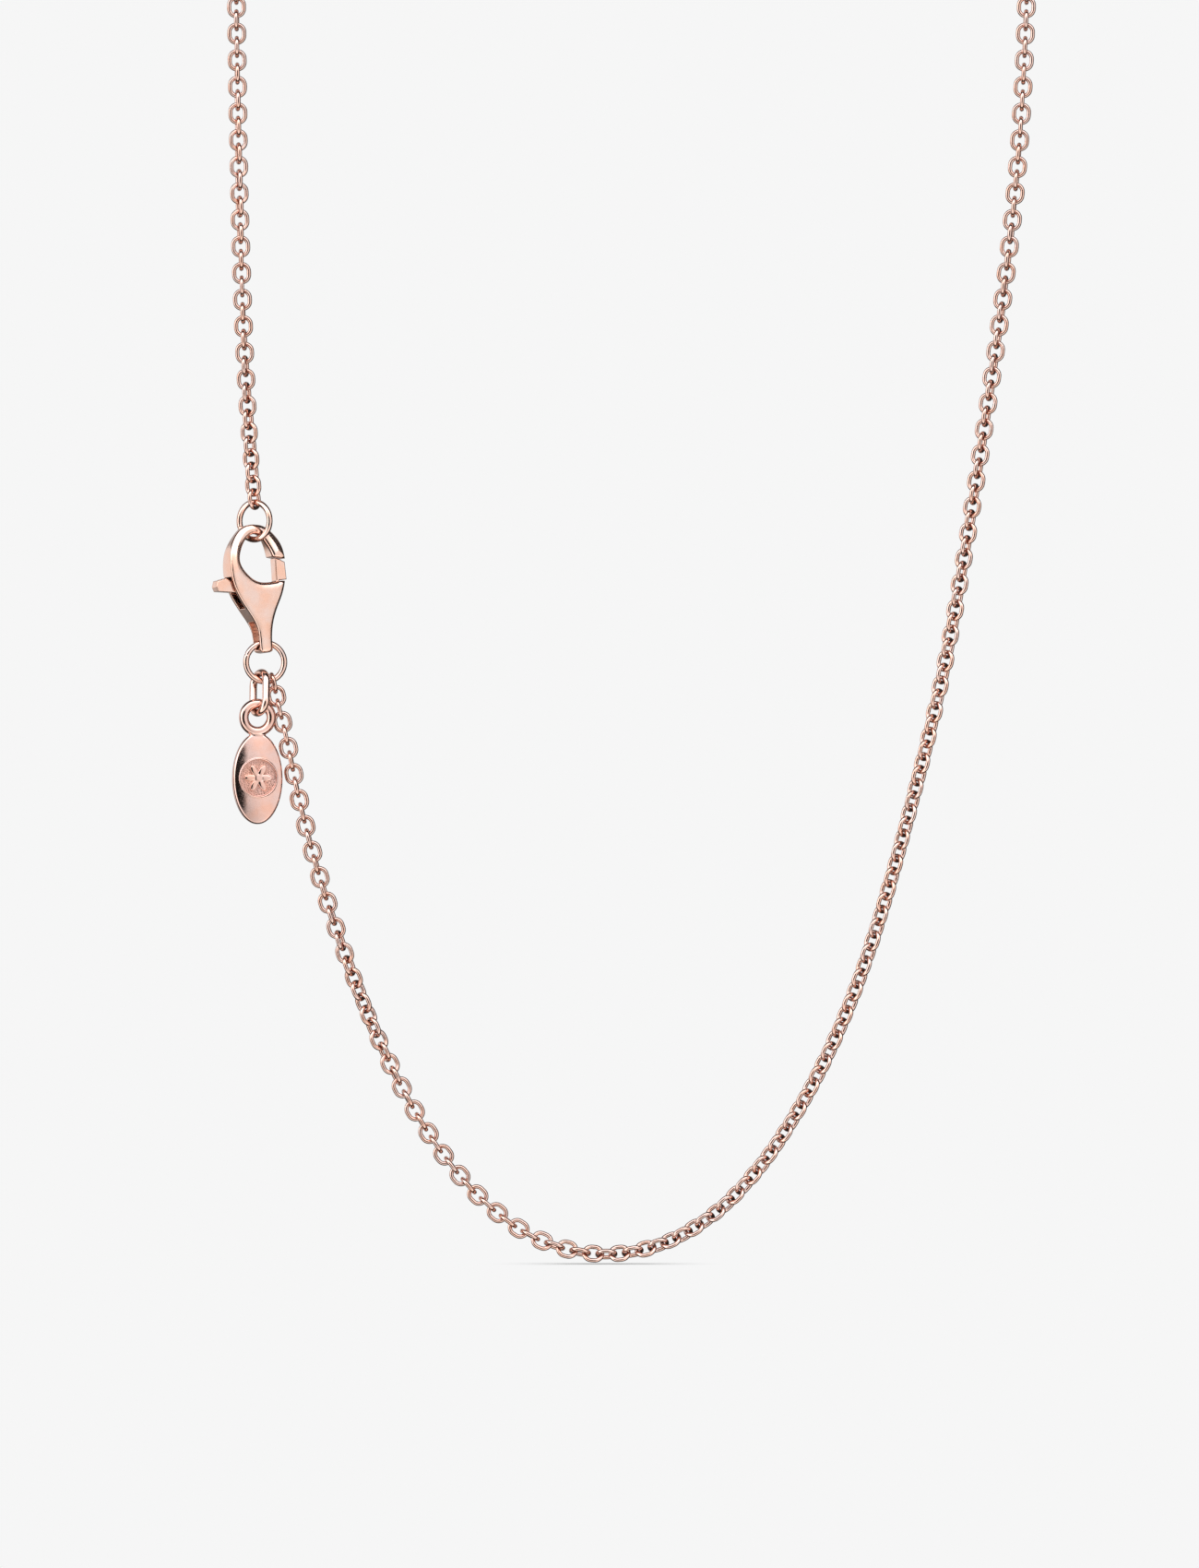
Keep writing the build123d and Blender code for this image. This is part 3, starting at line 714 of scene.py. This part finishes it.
def clasp_field(p):
    uv = p[:, [0, 2]]
    d = polygon_distance(uv, outline)
    near_in = segment_distance(uv, *soft_edges)
    half = -np.interp(p[:, 2], side_profile[:, 1], side_profile[:, 0])
    from_edge = np.clip(-d / 0.95, 0, 1)
    crown = 0.15 * (1 - from_edge) ** 2
    face = np.abs(p[:, 1]) - (half - crown)
    weight = 1 / (1 + np.exp(np.clip((near_in + d - 0.05) / 0.08, -30, 30)))
    shell = round_and(d, face, 0.13 + 0.22 * weight)
    hollow = np.maximum(polygon_distance(uv, slot), np.abs(p[:, 1]) - slot_half)
    window = polygon_distance(p[:, [1, 2]], eye)
    bore = np.maximum(np.hypot(p[:, 0] - pivot_u, p[:, 2] - pivot_v) - pin_diameter / 2, np.abs(p[:, 1]) - 0.93)
    return round_and(round_and(round_and(shell, -hollow, 0.045), -window, 0.05), -bore, 0.01)


fine = 0.045
pts, quads = skin(clasp_field, (-2.8, -1.15, -0.3), (2.5, 1.15, 10.2), fine)
body_obj = make_mesh("clasp_shell", placed(pts, clasp_origin, side_dir, clasp_up), quads,
                     {"piece_tone": np.full(len(pts), 0.5)})
finish_piece(body_obj, clasp_metal, "clasp", ["clasp_body"])

lever_outline = np.array([
    (1.44, 7.24), (1.86, 7.11), (2.26, 6.91), (2.30, 5.52), (1.66, 5.50), (1.44, 4.95), (1.19, 4.42),
    (1.05, 4.05), (0.75, 3.92), (0.40, 4.02), (-1.00, 4.36), (-2.20, 4.74), (-3.72, 4.92),
    (-3.86, 5.30), (-3.70, 5.76), (-3.00, 5.92), (-2.40, 5.60), (-1.60, 5.08), (-0.80, 4.80),
    (0.50, 4.76), (1.05, 5.00), (1.40, 5.50)])


def lever_field(p):
    d = polygon_distance(p[:, [0, 2]], lever_outline)
    block = round_and(d, np.abs(p[:, 1]) - lever_thickness / 2, 0.085)
    bore = np.hypot(p[:, 0] - pivot_u, p[:, 2] - pivot_v) - (pin_diameter / 2 + 0.03)
    # three fine finger grooves across the thumb tab
    grooves = np.full(len(p), 9.0)
    for u in (-3.45, -3.15, -2.85):
        top = 5.80 + (u + 3.45) * 0.20
        grooves = np.minimum(grooves, np.hypot(p[:, 0] - u, p[:, 2] - top - 0.10) - 0.13)
    return round_and(round_and(block, -bore, 0.02), -grooves, 0.02)


pts, quads = skin(lever_field, (-4.1, -0.6, 3.7), (2.5, 0.6, 7.5), fine * 0.9)
finish_piece(make_mesh("clasp_gate_lever", placed(pts, clasp_origin, side_dir, clasp_up), quads,
                       {"piece_tone": np.full(len(pts), 0.7)}),
             clasp_metal, "lever", ["clasp_lever"])


def turned(profile, sides):
    """Solid of revolution about the local Y axis; the profile runs from end to end."""
    profile = np.array(profile)
    phi = np.arange(sides) * 2 * math.pi / sides
    ring = np.stack([np.cos(phi), np.zeros(sides), np.sin(phi)], 1)
    pts = profile[:, 0][:, None, None] * ring[None] + profile[:, 1][:, None, None] * np.array([0, 1.0, 0])
    return pts.reshape(-1, 3), grid_quads(len(profile), sides, False)


pin_profile = [(0.004, -0.915), (0.12, -0.912), (0.19, -0.90), (0.225, -0.875), (0.238, -0.84)]
pin_profile += [(0.238, y) for y in np.linspace(-0.8, 0.8, 12)]
pin_profile += [(r, -y) for r, y in reversed(pin_profile[:5])]
pts, quads = turned(pin_profile, 32)
pts = pts + np.array([pivot_u, 0, pivot_v])
finish_piece(make_mesh("lever_rivet", placed(pts, clasp_origin, side_dir, clasp_up), outward(pts, quads),
                       {"piece_tone": np.full(len(pts), 0.4)}),
             rivet_metal, "clasp", ["lever_pin"])

# coil spring: closed end coils, open in the middle
turns, steps = spring_turns, 260
u = np.linspace(0, 1, steps)
rise = np.interp(u, [0, 0.15, 0.85, 1.0], [0.0, 0.10, 0.90, 1.0])
ang = u * turns * 2 * math.pi
spine = np.stack([-0.20 + spring_radius * np.cos(ang), spring_radius * np.sin(ang), 2.70 + rise * 1.27], 1)
direction = np.gradient(spine, axis=0)
direction /= np.linalg.norm(direction, axis=1)[:, None]
radial = np.stack([np.cos(ang), np.sin(ang), np.zeros(steps)], 1)
radial -= direction * (radial * direction).sum(1)[:, None]
radial /= np.linalg.norm(radial, axis=1)[:, None]
other = np.cross(direction, radial)
phi = np.arange(10) * 2 * math.pi / 10
taper = np.minimum(1, np.minimum(u, 1 - u) * 120 + 0.08)
pts = (spine[:, None, :] + (spring_wire / 2) * taper[:, None, None]
       * (np.cos(phi)[None, :, None] * radial[:, None, :] + np.sin(phi)[None, :, None] * other[:, None, :])).reshape(-1, 3)
quads = grid_quads(steps, 10, False)
spring_obj = make_mesh("lever_coil_spring", placed(pts, clasp_origin, side_dir, clasp_up), outward(pts, quads),
                       {"piece_tone": np.full(len(pts), 0.5)})
finish_piece(spring_obj, spring_metal, "clasp", ["lever_spring"])
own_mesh(spring_obj)

# ---------------------------------------------------------------- tag and its link
seat_x = -29.643
sx = seat_x - clasp_ring_centre[0]
seat = np.array([seat_x, clasp_ring_centre[1] + sx * math.tan(ry),
                 clasp_ring_centre[2] - math.sqrt(clasp_ring_radius ** 2 - (sx / math.cos(ry)) ** 2)])
tilt = math.radians(tag_link_tilt)
hang = np.array([0, -math.sin(tilt), -math.cos(tilt)])
tag_link_centre = seat + hang * (tag_link_half - ((ring_wire + tag_link_wire) / 2 + play + 0.05))
ly = math.radians(tag_link_yaw)
link_side = np.array([math.cos(ly), math.sin(ly), 0.0])
link_side -= hang * (link_side @ hang)
link_side /= np.linalg.norm(link_side)
path = np.array(stadium(tag_link_half, tag_link_half_width, 44, 22))
pts, quads = closed_sweep(path, np.full(len(path), tag_link_wire / 2), 26)
finish_piece(make_mesh("tag_bail_link", placed(pts, tag_link_centre, link_side, -hang), quads,
                       {"piece_tone": np.full(len(pts), 0.6), "grain": np.zeros(len(pts))}),
             ring_metal, "tag_link", ["tag_link"])

lowest = link_side * -link_side[2] + hang * -hang[2]
lowest /= np.linalg.norm(lowest)
hold = tag_link_centre + hang * (tag_link_half - tag_link_half_width) + lowest * tag_link_half_width
eye_centre = np.array([hold[0], hold[1], hold[2] + (tag_link_wire + tag_eye_wire) / 2 + play + 0.02 - tag_eye_radius])
plate_drop = tag_eye_radius + tag_height / 2 + 0.12
flower_v = -plate_drop + 0.05


def flower(u, v):
    """Distance to a plain six-petal rosette, negative inside."""
    r, t = np.hypot(u, v), np.arctan2(v, u)
    wedge = (t + math.pi / 6) % (math.pi / 3) - math.pi / 6
    x, y = r * np.cos(wedge) - 0.64, r * np.sin(wedge)
    petal = (np.hypot(x / 0.50, y / 0.27) - 1) * 0.27
    return np.minimum(petal, r - 0.34)


def tag_field(p):
    u, y, v = p[:, 0], p[:, 1], p[:, 2] + plate_drop
    a, b = tag_width / 2, tag_height / 2
    k = np.hypot(u / a, v / b)
    g = np.hypot(u / a ** 2, v / b ** 2)
    d = np.where(k > 1e-6, (k - 1) * k / np.maximum(g, 1e-6), -a)
    front = tag_thickness / 2 - 0.20 * np.clip(k, 0, 1) ** 3
    face = np.where(y < 0, -y - front, y - (tag_thickness / 2 - 0.07 * np.clip(k, 0, 1) ** 4))
    plate = round_and(d, face, 0.20)
    cu, cv = u, p[:, 2] - flower_v
    cr = np.hypot(cu, cv)
    recess = np.maximum(cr - 1.42, y + tag_thickness / 2 - 0.21)
    plate = round_and(plate, -recess, 0.05)
    f = flower(cu, cv)
    relief = round_and(f, -y - (tag_thickness / 2 - 0.04 - 0.05 * np.clip(1 + f / 0.2, 0, 1) ** 2), 0.05)
    relief = np.maximum(relief, y + 0.05)
    plate = round_or(plate, relief, 0.03)
    # raised bead round the recess
    bead = np.hypot(cr - 1.50, y + tag_thickness / 2 - 0.02) - 0.055
    plate = round_or(plate, bead, 0.04)
    ring = np.hypot(np.hypot(u, p[:, 2]) - tag_eye_radius, y) - tag_eye_wire / 2
    return round_or(plate, ring, 0.12)


pts, quads = skin(tag_field, (-2.15, -0.6, -8.6), (2.15, 0.6, 1.6), fine)
radius = np.hypot(pts[:, 0], pts[:, 2] - flower_v)
grain = ((radius < 1.40) & (pts[:, 1] < 0) & (pts[:, 1] > -tag_thickness / 2 + 0.13)
         & (flower(pts[:, 0], pts[:, 2] - flower_v) > 0.02)).astype(float)
ty = math.radians(tag_yaw)
finish_piece(make_mesh("oval_tag", placed(pts, eye_centre, (math.cos(ty), math.sin(ty), 0), (0, 0, 1)), quads,
                       {"piece_tone": np.full(len(pts), 0.45), "grain": grain}),
             tag_metal, "tag", ["tag"])

# ---------------------------------------------------------------- floor, light, camera
floor_z = cad_low.z - 0.0001
bpy.ops.mesh.primitive_plane_add(size=6.0, location=(0, 0, floor_z))
floor = bpy.context.object
floor.name = "floor"
pale = bpy.data.materials.new("pale_floor")
pale.use_nodes = True
ft = pale.node_tree
ft.nodes.clear()
# painted shadow: the floor glows an even pale grey, and an ambient-occlusion lookup darkens it into a contact shadow
# under the chain
near = ft.nodes.new("ShaderNodeAmbientOcclusion")
near.samples = 24
near.inputs["Distance"].default_value = 0.0035
level = ft.nodes.new("ShaderNodeMapRange")
level.interpolation_type = "SMOOTHSTEP"
for socket, x in zip(level.inputs[1:5], (0.35, 0.97, 0.30, 0.922)):
    socket.default_value = x
ft.links.new(near.outputs["AO"], level.inputs[0])
floor_with_painted_shadow = ft.nodes.new("ShaderNodeCombineColor")
for k in range(3):
    ft.links.new(level.outputs[0], floor_with_painted_shadow.inputs[k])
glow = ft.nodes.new("ShaderNodeEmission")
ft.links.new(floor_with_painted_shadow.outputs[0], glow.inputs["Color"])
fo = ft.nodes.new("ShaderNodeOutputMaterial")
ft.links.new(glow.outputs[0], fo.inputs["Surface"])
floor.data.materials.append(pale)
floor.visible_glossy = False
floor.visible_diffuse = False

world = bpy.data.worlds.new("studio")
bpy.context.scene.world = world
world.use_nodes = True
wt = world.node_tree
wt.nodes.clear()


def wnode(kind, **settings):
    made = wt.nodes.new(kind)
    for k, x in settings.items():
        setattr(made, k, x)
    return made


def wcalc(op, a, b=0.0, c=0.0, clamp=False):
    made = wnode("ShaderNodeMath", operation=op, use_clamp=clamp)
    for socket, value in zip(made.inputs, (a, b, c)):
        if hasattr(value, "is_linked"):
            wt.links.new(value, socket)
        else:
            socket.default_value = value
    return made.outputs[0]


def wramp(value, stops, scale=1.0):
    """Piecewise smooth curve of value in 0..1; stops are (place, level)."""
    made = wnode("ShaderNodeValToRGB")
    ramp = made.color_ramp
    ramp.interpolation = "EASE"
    top = max(level for _, level in stops)
    while len(ramp.elements) < len(stops):
        ramp.elements.new(0.5)
    for element, (place, level) in zip(ramp.elements, stops):
        element.position = place
        element.color = (level / top,) * 3 + (1,)
    wt.links.new(value, made.inputs[0])
    return wcalc("MULTIPLY", made.outputs[0], top * scale)


way = wnode("ShaderNodeTexCoord")
axes = wnode("ShaderNodeSeparateXYZ")
# the studio turns with the camera: to the right, away from the camera, up
wt.links.new(way.outputs["Camera"], axes.inputs[0])
dx, dz, dy = axes.outputs
# angle away from the camera's side, 0 to 1, and turn round that axis
off_axis = wcalc("DIVIDE", wcalc("ARCCOSINE", wcalc("MULTIPLY", dy, -1.0)), math.pi)
rings_of_light = wramp(off_axis, [
    (0.00, 0.02), (0.075, 0.02), (0.11, 0.95), (0.20, 1.20), (0.30, 2.30), (0.35, 2.20),
    (0.41, 0.05), (0.50, 0.03), (0.66, 0.04), (0.77, 0.42), (1.00, 0.60)])
turn_round = wcalc("ADD", wcalc("DIVIDE", wcalc("ARCTAN2", dz, dx), 2 * math.pi), 0.5)
by_turn = wramp(turn_round, [
    (0.00, 1.15), (0.10, 0.75), (0.25, 0.55), (0.40, 0.75), (0.50, 1.00),
    (0.62, 1.15), (0.75, 1.25), (0.88, 1.20), (1.00, 1.15)])
studio = wcalc("MULTIPLY", rings_of_light, by_turn)


def card(direction, size, soft_edge, level):
    """A flag or softbox: blends the studio to the given level round a direction."""
    global studio
    d = Vector(direction).normalized()
    dot = wcalc("ADD", wcalc("ADD", wcalc("MULTIPLY", dx, d.x), wcalc("MULTIPLY", dy, d.y)), wcalc("MULTIPLY", dz, d.z))
    angle = wcalc("ARCCOSINE", wcalc("MINIMUM", dot, 0.99999))
    spread = wnode("ShaderNodeMapRange", clamp=True, interpolation_type="SMOOTHSTEP")
    for socket, value in zip(spread.inputs[:5], (0.0, math.radians(size), math.radians(size + soft_edge), 1.0, 0.0)):
        socket.default_value = value
    wt.links.new(angle, spread.inputs[0])
    mask = spread.outputs[0]
    studio = wcalc("ADD", wcalc("MULTIPLY", studio, wcalc("SUBTRACT", 1.0, mask)), wcalc("MULTIPLY", mask, level))


card((0.20, 0.10, 0.97), 26, 10, 0.02)        # dark ceiling
card((-0.34, -0.94, 0.0), 17, 7, 0.02)        # dark flag beside the camera, on the left
card((0.84, -0.54, 0.04), 17, 16, 1.04)      # softbox front right
card((-0.86, -0.35, 0.36), 12, 14, 2.3)      # softbox front left, raised
card((-0.83, 0.56, 0.0), 15, 10, 0.98)       # pale wall behind, on the left
card((0.62, 0.78, 0.0), 22, 8, 0.03)         # dark flag behind, on the right

tint = wnode("ShaderNodeCombineColor")
cool_side = wcalc("MULTIPLY", wcalc("ADD", dz, 1.0), 0.5, clamp=True)
wt.links.new(wcalc("MULTIPLY", studio, wcalc("SUBTRACT", 1.03, wcalc("MULTIPLY", cool_side, 0.04))), tint.inputs[0])
wt.links.new(studio, tint.inputs[1])
wt.links.new(wcalc("MULTIPLY", studio, wcalc("ADD", 0.95, wcalc("MULTIPLY", cool_side, 0.10))), tint.inputs[2])

paths = wnode("ShaderNodeLightPath")
seen = wnode("ShaderNodeBackground")
seen.inputs["Color"].default_value = (0.922, 0.922, 0.922, 1)
even = wnode("ShaderNodeBackground")
even.inputs["Color"].default_value = (1, 1, 1, 1)
shaped = wnode("ShaderNodeBackground")
wt.links.new(tint.outputs[0], shaped.inputs["Color"])
pick = wnode("ShaderNodeMixShader")
wt.links.new(paths.outputs["Is Diffuse Ray"], pick.inputs[0])
wt.links.new(shaped.outputs[0], pick.inputs[1])
wt.links.new(even.outputs[0], pick.inputs[2])
pick_camera = wnode("ShaderNodeMixShader")
wt.links.new(paths.outputs["Is Camera Ray"], pick_camera.inputs[0])
wt.links.new(pick.outputs[0], pick_camera.inputs[1])
wt.links.new(seen.outputs[0], pick_camera.inputs[2])
world_out = wnode("ShaderNodeOutputWorld")
wt.links.new(pick_camera.outputs[0], world_out.inputs["Surface"])

lens = bpy.data.cameras.new("camera")
lens.type = "PERSP"
lens.sensor_fit = "VERTICAL"
lens.sensor_width = lens.sensor_height = 36.0
lens.lens = 200.0
lens.clip_start, lens.clip_end = 0.01, 20.0
camera = bpy.data.objects.new("camera", lens)
bpy.context.scene.collection.objects.link(camera)
frame_height = 1700 / 13.8
camera.location = (-2.957 * MM, -frame_height * 200.0 / 36.0 * MM, -160.752 * MM)
camera.rotation_euler = (math.pi / 2, 0, 0)
bpy.context.scene.camera = camera
bpy.context.scene.view_settings.view_transform = "Standard"
